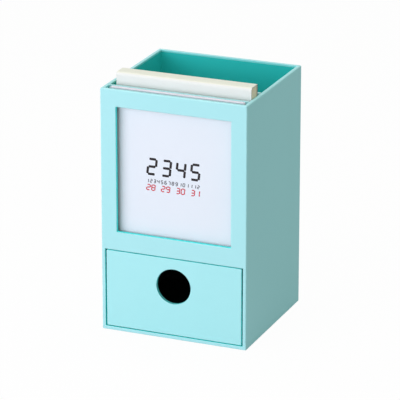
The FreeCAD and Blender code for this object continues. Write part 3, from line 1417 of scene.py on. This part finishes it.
    def foot_sheet(self) -> None:
        """Makes the sheet under the foot, which ends where the turned-in paper's inner edge is."""
        x, y = (reach - self.foot_turn - self.lining_gap for reach in CASE.high[:2])
        draft = Draft(lining_paper)
        draft.slab(rounded_rectangle((-x, x), (-y, y), self.foot_corner), (0.0, PAPER), 2)
        place(draft.piece("foot_sheet"), "case", "mint_wrap_paper", "base_paper")

    def wall_lining(self) -> None:
        """Makes the strip of lining round the inside of the compartment, folded softly into its corners."""
        half_x, half_y, _ = POCKET.high
        fold = self.corner_fold
        front = -half_y + self.lining_end
        path = [(-half_x, front)]
        path += arc((-half_x + fold, half_y - fold), fold, 180.0, 90.0, self.corner_steps)
        path += arc((half_x - fold, half_y - fold), fold, 90.0, 0.0, self.corner_steps)
        path.append((half_x, front))
        draft = Draft(lining_paper)
        draft.strip(path, (SHELF, self.lining_top), 2, CASE.middle, inwards=True)
        place(draft.piece("compartment_lining", PAPER), "case", "mint_lining_paper", "wall_lining")

    def frame_back(self) -> None:
        """Makes the paper on the back of the front frame, round its window."""
        half_x, half_y, _ = POCKET.high
        slab = Block((-half_x, -half_y - PAPER, SHELF), (half_x, -half_y, self.lining_top))
        hole = WINDOW.cut((-half_y - SPARE, -half_y + SPARE))
        draft = Draft(lining_paper)
        draft.stepped_skin([(True, slab), (False, hole)], lambda middle, outward: outward.y > FACING)
        place(draft.piece("frame_back_lining", PAPER), "case", "mint_lining_paper", "frame_back_paper")

    def bay_lining(self) -> None:
        """Makes the lining of the drawer bay, from the wrap's turned-in edge to the back wall; its front part
        gets the turned-in paper's painted shade.
        """
        bay = self.bay
        start = CASE.low[1] + self.mouth_turn + self.lining_gap
        shade_end = CASE.low[1] + self.mouth_paste
        # The lining's front part gets the deeper mint of painted shade.
        draft = Draft(lining_paper, turned_painted_shade)
        draft.stepped_skin(
            [(True, bay.grown(SPARE)), (False, bay)],
            lambda middle, outward: bay.near(middle, BESIDE) and middle.y > start,
            ((), (start, shade_end), ()),
            (turned_painted_shade, lambda middle, outward: middle.y < shade_end),
        )
        place(draft.piece("bay_lining_sheet", PAPER), "case", "mint_lining_paper", "bay_lining")

    def divider_wrap(self, node: str) -> None:
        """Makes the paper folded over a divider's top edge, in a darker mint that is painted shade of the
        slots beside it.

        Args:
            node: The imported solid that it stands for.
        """
        draft = Draft(divider_painted_shade)
        draft.stepped_skin(
            [(True, packed_block(node))],
            lambda middle, outward: abs(outward.x) < FACING and outward.z > -FACING,
        )
        draft.round_edges(lambda middle: self.divider_rounding)
        made = draft.piece(node.replace("_wrap", "_sleeve"), PAPER)
        place(made, "case", "mint_wrap_paper", node)


# ---------------------------------------------------------------- the drawer
@dataclass
class Drawer:
    """The drawer: a wrapped front with a finger hole, and a tray with a dark lining."""

    hole_radius: float = 11.25      # the finger hole
    hole_drop: float = 17.85        # from the front's top edge to the hole's middle
    hole_steps: int = 96
    hole_play: float = 0.04         # how much larger the radius of the lining's hole is
    lip: float = 0.25               # rounding of the hole's front edge
    flat_ring: float = 15.0         # radius of a ring in the flat front that keeps its shading even
    turn_in: float = 0.8            # wrap folded down inside the tray's rim
    lining_gap: float = 0.05        # between a lining and the folded wrap
    boards: tuple[str, ...] = (
        "drawer_front_board", "drawer_bottom_board", "drawer_left_board", "drawer_right_board",
        "drawer_back_board",
    )

    def build(self) -> None:
        """Makes and dresses every piece of the drawer."""
        for board in self.boards:
            dress(board, greyboard)
        self.face()
        self.tray_wrap()
        self.tray_lining()

    def _ring(self, draft: Draft, radius: float, y: float) -> list[bmesh.types.BMVert]:
        """Adds a ring of points round the finger hole.

        Args:
            draft: The mesh that gets them.
            radius: The ring's radius.
            y: Its place from front to back.

        Returns:
            The points.
        """
        middle = (0.0, FACE.high[2] - self.hole_drop)
        circle = arc(middle, radius, 0.0, 360.0, self.hole_steps)[:-1]
        return [draft.bm.verts.new((x, y, z)) for x, z in circle]

    def _join(self, draft: Draft, first: list[bmesh.types.BMVert], second: list[bmesh.types.BMVert]) -> None:
        """Joins two rings with faces that look towards the hole's axis.

        Args:
            draft: The mesh.
            first: The ring in front.
            second: The ring behind it.
        """
        for n in range(len(first)):
            after = (n + 1) % len(first)
            draft.bm.faces.new([first[n], first[after], second[after], second[n]])

    def face(self) -> None:
        """Makes the wrapped drawer front with rounded edges and a soft lip round the hole. Its sides, top,
        foot and the hole's wall get deeper mint as painted shade.
        """
        rim = TRAY.high[2] + self.lining_gap
        draft = Draft(face_paper, face_painted_shade)
        draft.stepped_skin(
            [(True, FACE)], lambda middle, outward: outward.y < FACING or middle.z > rim, ((), (), (rim,)),
        )
        draft.round_edges()
        front = max(draft.bm.faces, key=lambda face: -face.normal.y * face.calc_area())
        outer = list(front.verts)
        bmesh.ops.delete(draft.bm, geom=[front], context="FACES_ONLY")
        rings = [self._ring(draft, self.flat_ring, FACE.low[1])]
        for n in range(EDGE_STEPS + 1):
            turn = math.radians(90.0) * n / EDGE_STEPS
            radius = self.hole_radius + self.lip * (1.0 - math.sin(turn))
            rings.append(self._ring(draft, radius, FACE.low[1] + self.lip * (1.0 - math.cos(turn))))
        rings.append(self._ring(draft, self.hole_radius, FACE.high[1]))
        for first, second in zip(rings, rings[1:]):
            self._join(draft, first, second)
        draft.fill_between([outer, rings[0]], Vector((0.0, -1.0, 0.0)))
        # Painted shade: deeper mint on the faces that look into the gap and into the hole.
        draft.refinish(face_painted_shade, lambda middle, outward: outward.y > -SQUARE)
        place(draft.piece("drawer_face", PAPER), "drawer", "mint_wrap_paper", "drawer_front_wrap")

    def _hollow(self, front: float, top: float) -> Block:
        """Gives the hollow of the tray.

        Args:
            front: Where it starts at the front.
            top: Where it ends at the top.

        Returns:
            The hollow.
        """
        low_x, _, floor = TRAY_ROOM.low
        return Block((low_x, front, floor), (*TRAY_ROOM.high[:2], top))

    def tray_wrap(self) -> None:
        """Makes the mint paper outside the tray, folded over its top edges."""
        top = TRAY.high[2]
        hollow = self._hollow(TRAY.low[1] - SPARE, top)
        turn_end = top - self.turn_in

        def covered(middle: Vector, outward: Vector) -> bool:
            """Says whether a face is outside the tray, on its rim or turned in below the rim.

            Args:
                middle: The face's middle.
                outward: Its outward direction.

            Returns:
                True where the wrap lies.
            """
            if outward.y < -FACING and middle.y < TRAY.low[1] + ON_PLANE:
                return False
            inside = hollow.near(middle, ON_PLANE) and middle.z < top - ON_PLANE
            return not inside or middle.z > turn_end

        draft = Draft(tray_paper)
        draft.stepped_skin([(True, TRAY), (False, hollow)], covered, ((), (), (turn_end,)))
        draft.round_edges()
        place(draft.piece("tray_wrap", PAPER), "drawer", "mint_wrap_paper", "drawer_outer_wrap")

    def tray_lining(self) -> None:
        """Makes the dark lining inside the tray, with the finger hole in its front."""
        front = TRAY.low[1]
        top = TRAY.high[2] - self.turn_in - self.lining_gap
        hollow = self._hollow(front, top)

        def covered(middle: Vector, outward: Vector) -> bool:
            """Says whether a face is a side, the back or the floor of the tray's hollow."""
            inside = hollow.near(middle, ON_PLANE)
            return inside and middle.y > front + ON_PLANE and middle.z < top - ON_PLANE

        draft = Draft(dark_paper)
        draft.stepped_skin([(True, hollow.grown(SPARE)), (False, hollow)], covered)
        corners = {}
        for vert in draft.bm.verts:
            if abs(vert.co.y - front) < ON_PLANE:
                corners[(vert.co.x > 0.0, vert.co.z > hollow.middle.z)] = vert
        outer = [corners[key] for key in ((False, False), (True, False), (True, True), (False, True))]
        hole = self._ring(draft, self.hole_radius + self.hole_play, front)
        draft.fill_between([outer, hole], Vector((0.0, 1.0, 0.0)))
        place(draft.piece("tray_lining", PAPER), "drawer", "dark_lining_paper", "drawer_lining")


# ---------------------------------------------------------------- the memo pad
@dataclass
class MemoPad:
    """The memo pad: a folded cover round loose-edged sheets on a back board."""

    room: Block = packed_block("memo_cover")
    sheets_end: float = packed_block("memo_back_board").low[1]
    cover: float = 0.5              # thickness of the cover
    fold: float = 2.2               # radius of its front fold
    fold_steps: int = 9
    back_fold: float = 0.7
    back_fold_steps: int = 4
    pitch: float = 0.1              # from one sheet to the next
    sheet_share: float = 0.98       # thickness of a sheet, as a share of the pitch
    slip: float = 0.03              # how uneven the sheets' edges are
    side_trim: float = 0.16         # how much narrower than the cover they are
    head_trim: float = 0.32         # how much they end below it
    seed: int = 7
    side_seed: int = 18
    glue_gap: float = 0.01          # between the glue and the cover's fold
    glue_depth: float = 0.29
    glue_start: float = 140.0       # where on the fold the glue starts, with 90 degrees at the top
    glue_steps: int = 6

    def build(self) -> None:
        """Makes and dresses every piece of the pad."""
        dress("memo_back_board", greyboard)
        self.folded_cover()
        self.sheets()
        self.glue_bead()

    def folded_cover(self) -> None:
        """Makes the cover, which goes over the top of the sheets in two folds; its upward faces get a warmer
        colour, painted light of the lamp above.
        """
        low, high = self.room.span(2)
        front, back = self.room.span(1)
        path = [(front, low)]
        path += arc((front + self.fold, high - self.fold), self.fold, 180.0, 90.0, self.fold_steps)
        middle = (back - self.back_fold, high - self.back_fold)
        path += arc(middle, self.back_fold, 90.0, 0.0, self.back_fold_steps)
        path.append((back, low))
        draft = Draft(cover_stock, cover_top_painted_light)
        draft.strip(path, self.room.span(0), 0, self.room.middle, inwards=False)
        # Painted light: the upward faces get the warmer colour.
        draft.refinish(cover_top_painted_light, lambda middle, outward: outward.z > SQUARE)
        place(draft.piece("pad_cover", self.cover), "memo_pad", "ivory_cover", "memo_cover")

    def sheets(self) -> None:
        """Makes the sheets one by one, with slightly uneven edges."""
        room = self.room
        first = room.low[1] + self.cover + self.pitch / 2
        plain = sheet_stack_rule().apply(
            "pad_sheet_stack", bpy.data.meshes.new("pad_start"), sheet_block,
            Sheets=int((self.sheets_end - first) / self.pitch) + 1, Pitch=self.pitch, First=first,
            Thickness=self.pitch * self.sheet_share, Width=room.high[0] - room.low[0] - self.side_trim,
            Height=room.high[2] - room.low[2] - self.cover - self.head_trim, Foot=room.low[2],
            Middle=sum(room.span(0)) / 2, Fold=self.fold - self.cover, Slip=self.slip,
            Seed=self.seed, SideSeed=self.side_seed,
        )
        draft = Draft(sheet_block)
        draft.add_mesh(plain, sheet_block)
        place(draft.piece("pad_sheets"), "memo_pad", "cream_sheets", "memo_sheets")

    def glue_bead(self) -> None:
        """Makes the glue along the sheets' top edges, which follows the cover's fold down in front."""
        radius = self.fold - self.cover - self.glue_gap
        y, z = self.room.low[1] + self.fold, self.room.high[2] - self.fold
        upper = arc((y, z), radius, self.glue_start, 90.0, self.glue_steps)
        lower = arc((y, z - self.glue_depth), radius, 90.0, self.glue_start, self.glue_steps)
        ends = [(self.sheets_end, upper[-1][1]), (self.sheets_end, lower[0][1])]
        draft = Draft(glue)
        draft.slab(upper + ends + lower, (self.room.low[0] + self.slip, self.room.high[0] - self.slip), 0)
        place(draft.piece("glue_bead"), "memo_pad", "binding_glue", "memo_glue_strip")


# ---------------------------------------------------------------- the cards
class Bar(Enum):
    """The seven bars of a printed figure: place across, place up and whether it stands."""

    TOP = (0.0, 1.0, False)
    MIDDLE = (0.0, 0.0, False)
    FOOT = (0.0, -1.0, False)
    UPPER_LEFT = (-0.5, 0.5, True)
    UPPER_RIGHT = (0.5, 0.5, True)
    LOWER_LEFT = (-0.5, -0.5, True)
    LOWER_RIGHT = (0.5, -0.5, True)


FIGURES: dict[str, tuple[Bar, ...]] = {
    "0": (Bar.TOP, Bar.FOOT, Bar.UPPER_LEFT, Bar.UPPER_RIGHT, Bar.LOWER_LEFT, Bar.LOWER_RIGHT),
    "1": (Bar.UPPER_RIGHT, Bar.LOWER_RIGHT),
    "2": (Bar.TOP, Bar.UPPER_RIGHT, Bar.MIDDLE, Bar.LOWER_LEFT, Bar.FOOT),
    "3": (Bar.TOP, Bar.UPPER_RIGHT, Bar.MIDDLE, Bar.LOWER_RIGHT, Bar.FOOT),
    "4": (Bar.UPPER_LEFT, Bar.UPPER_RIGHT, Bar.MIDDLE, Bar.LOWER_RIGHT),
    "5": (Bar.TOP, Bar.UPPER_LEFT, Bar.MIDDLE, Bar.LOWER_RIGHT, Bar.FOOT),
    "6": (Bar.TOP, Bar.UPPER_LEFT, Bar.MIDDLE, Bar.LOWER_LEFT, Bar.LOWER_RIGHT, Bar.FOOT),
    "7": (Bar.TOP, Bar.UPPER_RIGHT, Bar.LOWER_RIGHT),
    "8": tuple(Bar),
    "9": (Bar.TOP, Bar.UPPER_LEFT, Bar.UPPER_RIGHT, Bar.MIDDLE, Bar.LOWER_RIGHT, Bar.FOOT),
}


@dataclass(frozen=True)
class Line:
    """One printed run of plain numbers."""

    text: str
    ink: Ink
    left: float                 # from the card's left edge to the first figure
    foot: float                 # from the card's foot to the figures' feet
    height: float
    pitch: float                # from one figure to the next
    slant: float = 6.0          # how far the figures lean, in degrees
    narrow: float = 1.0         # width of a figure, as a share of the usual
    weight: float = 1.0         # thickness of its bars, as a share of the usual


@dataclass
class PrintPress:
    """Lays plain numbers made of short bars on a card's face; the bars are sized for figures two high."""

    rule: Rule
    figure_height: float = 2.0      # height of a figure for which the bars are sized
    figure_share: float = 0.5       # width of a figure, as a share of its height
    thickness: float = 0.17
    length: float = 0.8
    corner_share: float = 0.3       # cut corner of a bar, as a share of its thickness
    ink_relief: float = 0.006
    join_gap: float = 0.0005        # points nearer than this are joined

    def marks(self, line: Line, corner: Point) -> list[tuple[Point, float, float, float]]:
        """Works out where a line's bars lie.

        Args:
            line: The numbers to print.
            corner: The lower left corner of the card's printed face.

        Returns:
            Each bar's middle, its turn, its size and its weight.
        """
        size = line.height / self.figure_height
        half = (line.height - self.thickness * line.weight * size) / 2
        width = line.height * self.figure_share * line.narrow
        lean = math.tan(math.radians(line.slant))
        made = []
        for column, letter in enumerate(line.text):
            left = corner[0] + line.left + column * line.pitch
            for bar in FIGURES.get(letter, ()):
                across, up, stands = bar.value
                rise = line.height / 2 + up * half
                middle = left + width / 2 + across * width + lean * rise
                turn = math.radians(-90.0 + line.slant) if stands else 0.0
                made.append(((middle, corner[1], corner[2] + line.foot + rise), turn, size, line.weight))
        return made

    def print_on(self, draft: Draft, lines: Sequence[Line], corner: Point) -> None:
        """Adds the bars of several lines to a card, one ink after the other.

        Args:
            draft: The card.
            lines: The lines to print.
            corner: The lower left corner of the card's printed face.
        """
        for ink in (ink_dark, ink_grey, ink_red):
            marks = [mark for line in lines if line.ink == ink for mark in self.marks(line, corner)]
            if not marks:
                continue
            start = bpy.data.meshes.new("bar_points")
            start.from_pydata([mark[0] for mark in marks], [], [])
            for column, name in enumerate(("turn", "size", "weight"), start=1):
                values = start.attributes.new(name, "FLOAT", "POINT")
                values.data.foreach_set("value", [mark[column] for mark in marks])
            plain = self.rule.apply(
                "bars", start, ink, Length=self.length, Width=self.thickness, Ink=self.ink_relief,
                Corner=self.thickness * self.corner_share, Gap=self.join_gap,
            )
            draft.add_mesh(plain, ink)


@dataclass
class CardDeck:
    """The deck behind the window: a cover card and the month cards with plain day numbers."""

    corner: float = 1.2             # radius of the cards' corners
    seed: int = 12
    drops: Span = (0.0, 0.22)       # how much a month card ends below its solid's top
    shifts: Span = (-0.15, 0.15)    # how far it sits to one side
    print_sink: float = 0.002       # how deep the ink's back lies in the card
    first_day: int = 3              # column of the first month's first day, from 0
    week: int = 7
    days: tuple[int, ...] = (31, 28, 31, 30, 31, 30, 31, 31, 30, 31, 30, 31)
    day_left: float = 13.7          # from the card's left edge to the first column
    day_across: float = 9.4         # from one column to the next
    day_foot: float = 60.1          # from the card's foot to the first row
    day_down: float = 8.6           # from one row to the next
    press: PrintPress = field(default_factory=lambda: PrintPress(segment_print_rule()))

    def build(self) -> None:
        """Makes the cover card and the month cards."""
        picker = random.Random(self.seed)
        first_day = self.first_day
        self.card("cover_card", self.cover_lines(), 0.0, 0.0)
        for month, days in enumerate(self.days, start=1):
            drop = picker.uniform(*self.drops)
            shift = picker.uniform(*self.shifts)
            self.card(f"month_card_{month:02d}", self.month_lines(month, first_day), drop, shift)
            first_day = (first_day + days) % self.week

    def card(self, node: str, lines: Sequence[Line], drop: float, shift: float) -> None:
        """Makes one card with its print.

        Args:
            node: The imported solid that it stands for, which is its body's name too.
            lines: What is printed on it.
            drop: How much lower than the solid it is.
            shift: How far it sits to one side.
        """
        room = packed_block(node)
        across = (room.low[0] + shift, room.high[0] + shift)
        upward = (room.low[2], room.high[2] - drop)
        draft = Draft(card_stock, ink_dark, ink_grey, ink_red, card_edge)
        draft.slab(rounded_rectangle(across, upward, self.corner), room.span(1), 1)
        draft.refinish(card_edge, lambda middle, outward: abs(outward.y) < FACING)
        self.press.print_on(draft, lines, (room.low[0], room.low[1] + self.print_sink, room.low[2]))
        place(draft.piece(f"{node}_printed"), node, "card_stock", node)

    def cover_lines(self) -> list[Line]:
        """Gives the cover's print: counting figures, the months' numbers and the months' lengths.

        Returns:
            The lines.
        """
        return [
            Line("2345", ink_dark, left=24.7, foot=47.3, height=11.1, pitch=9.4, narrow=0.94, weight=1.65),
            Line("123456789101112", ink_grey, left=24.2, foot=42.5, height=2.5, pitch=2.37, narrow=0.95,
                 weight=2.4),
            Line("28 29 30 31", ink_red, left=24.2, foot=37.5, height=4.1, pitch=3.22, narrow=1.05,
                 weight=2.0),
        ]

    def month_lines(self, month: int, first_day: int) -> list[Line]:
        """Gives a month card's print: its number and its days in seven columns.

        Args:
            month: The month's number.
            first_day: The column of its first day.

        Returns:
            The lines.
        """
        lines = [Line(str(month), ink_dark, left=13.1, foot=72.1, height=11.0, pitch=8.0, weight=1.35)]
        for day in range(self.days[month - 1]):
            row, column = divmod(first_day + day, self.week)
            left = self.day_left + self.day_across * column
            foot = self.day_foot - self.day_down * row
            ink = ink_dark if column else ink_red
            lines.append(Line(str(day + 1), ink, left, foot, height=3.6, pitch=2.7, weight=1.3))
        return lines


# ---------------------------------------------------------------- studio
def away_from_aim(azimuth: float, elevation: float) -> Vector:
    """Gives the direction from the object to a lamp or the camera.

    Args:
        azimuth: The turn to the right of the front, in degrees.
        elevation: The rise above the horizon, in degrees.

    Returns:
        The direction, of length 1.
    """
    turn, rise = math.radians(azimuth), math.radians(elevation)
    return Vector((math.sin(turn) * math.cos(rise), -math.cos(turn) * math.cos(rise), math.sin(rise)))


@dataclass(frozen=True)
class Softbox:
    """A soft lamp that looks at the object; its sizes are in metres."""

    name: str
    azimuth: float
    elevation: float
    distance: float
    width: float
    height: float
    power: float
    colour: Colour
    target: Point = (0.0, 0.0, 0.08)

    def hang(self) -> None:
        """Makes the lamp."""
        data = bpy.data.lights.new(self.name, "AREA")
        data.shape = "RECTANGLE"
        data.size = self.width
        data.size_y = self.height
        data.energy = self.power
        data.color = self.colour
        lamp = bpy.data.objects.new(self.name, data)
        away = away_from_aim(self.azimuth, self.elevation)
        lamp.location = Vector(self.target) + away * self.distance
        lamp.rotation_euler = (-away).to_track_quat("-Z", "Y").to_euler()
        bpy.context.scene.collection.objects.link(lamp)


@dataclass
class Studio:
    """A pale floor, a plain sky, soft lamps and the camera; its sizes are in metres, the lens in mm."""

    azimuth: float = 22.61
    elevation: float = 19.51
    distance: float = 1.8246
    aim: Point = (0.0, -0.007, 0.07125)
    across: float = 0.00152         # how far the camera moves to its right, without a turn
    upward: float = 0.00616         # how far it moves up
    lens: float = 267.8
    sensor: float = 36.0
    clip: Span = (0.05, 50.0)
    sky: float = 0.46
    sky_tint: Colour = (0.9, 1.05, 0.99)
    floor_size: float = 8.0
    lamps: tuple[Softbox, ...] = (
        Softbox("key_softbox", azimuth=-26.0, elevation=12.0, distance=1.3, width=1.5, height=0.8,
                power=12.4, colour=(1.1, 0.99, 1.09)),
        Softbox("top_softbox", azimuth=180.0, elevation=84.0, distance=1.2, width=0.7, height=0.5,
                power=4.0, colour=(1.25, 0.97, 0.93)),
    )

    def build(self) -> None:
        """Sets the whole studio up."""
        self.camera()
        self.floor()
        self.world()
        for lamp in self.lamps:
            lamp.hang()
        bpy.context.scene.view_settings.view_transform = "Standard"

    def camera(self) -> None:
        """Makes the camera."""
        turn, rise = math.radians(self.azimuth), math.radians(self.elevation)
        away = away_from_aim(self.azimuth, self.elevation)
        right = Vector((math.cos(turn), math.sin(turn), 0.0))
        shift = right * self.across + away.cross(right) * self.upward
        data = bpy.data.cameras.new("camera")
        data.lens = self.lens
        data.sensor_width = self.sensor
        data.clip_start, data.clip_end = self.clip
        made = bpy.data.objects.new("camera", data)
        made.location = Vector(self.aim) + shift + away * self.distance
        made.rotation_euler = (math.radians(90.0) - rise, 0.0, turn)
        bpy.context.scene.collection.objects.link(made)
        bpy.context.scene.camera = made

    def floor(self) -> None:
        """Makes the floor."""
        half = self.floor_size / 2
        mesh = bpy.data.meshes.new("studio_floor")
        corners = [(-half, -half, 0.0), (half, -half, 0.0), (half, half, 0.0), (-half, half, 0.0)]
        mesh.from_pydata(corners, [], [(0, 1, 2, 3)])
        mesh.materials.append(StudioFloor().material())
        made = bpy.data.objects.new("studio_floor", mesh)
        bpy.context.scene.collection.objects.link(made)

    def world(self) -> None:
        """Makes the sky: a plain soft light that the camera and reflections see as white."""
        world = bpy.data.worlds.new("studio_sky")
        world.use_nodes = True
        world.node_tree.nodes.clear()
        graph = Graph(world.node_tree)
        soft = graph.wire("ShaderNodeBackground", None, {"Color": self.sky_tint, "Strength": self.sky})
        white = graph.wire("ShaderNodeBackground", None, {"Color": WHITE, "Strength": 1.0})
        mixed = graph.wire("ShaderNodeMixShader", None, {0: seen_directly(graph), 1: soft, 2: white})
        graph.node("ShaderNodeOutputWorld", None, {"Surface": mixed})
        bpy.context.scene.world = world


def main() -> None:
    """Builds the object and its studio."""
    logging.basicConfig(level=logging.INFO, format="%(message)s")
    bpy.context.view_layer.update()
    Studio().build()
    for part in (CaseShell(), Drawer(), MemoPad(), CardDeck()):
        part.build()


if __name__ == "__main__":
    main()
